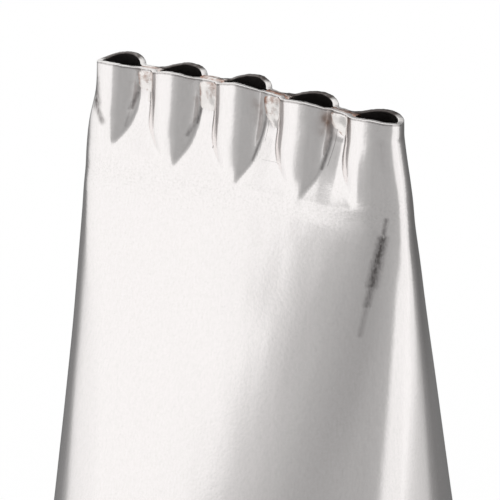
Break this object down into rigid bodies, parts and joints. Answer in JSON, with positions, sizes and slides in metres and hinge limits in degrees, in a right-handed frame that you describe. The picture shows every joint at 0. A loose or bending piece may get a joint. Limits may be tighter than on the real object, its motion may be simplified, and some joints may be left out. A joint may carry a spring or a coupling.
{
  "type": "piping nozzle",
  "caption": "Sheet steel piping nozzle: a round base drawn flat to a row of oval tubes that pipes parallel lines.",
  "frame": {"origin": "centre of the base circle, on the plane the nozzle stands on", "axes": "+Z from the round base to the row of tubes, X along the row, -Y towards the front face"},
  "size_m": [0.032, 0.032, 0.048],
  "materials": {
    "satin_steel": "satin",
    "weld_steel": "ground",
    "solder": "dull"
  },
  "bodies": {
    "root": {"nozzle_shell": "satin_steel", "seam_weld": "weld_steel", "web_solder_1": "solder", "web_solder_2": "solder", "web_solder_3": "solder", "web_solder_4": "solder"}
  },
  "joints": []
}
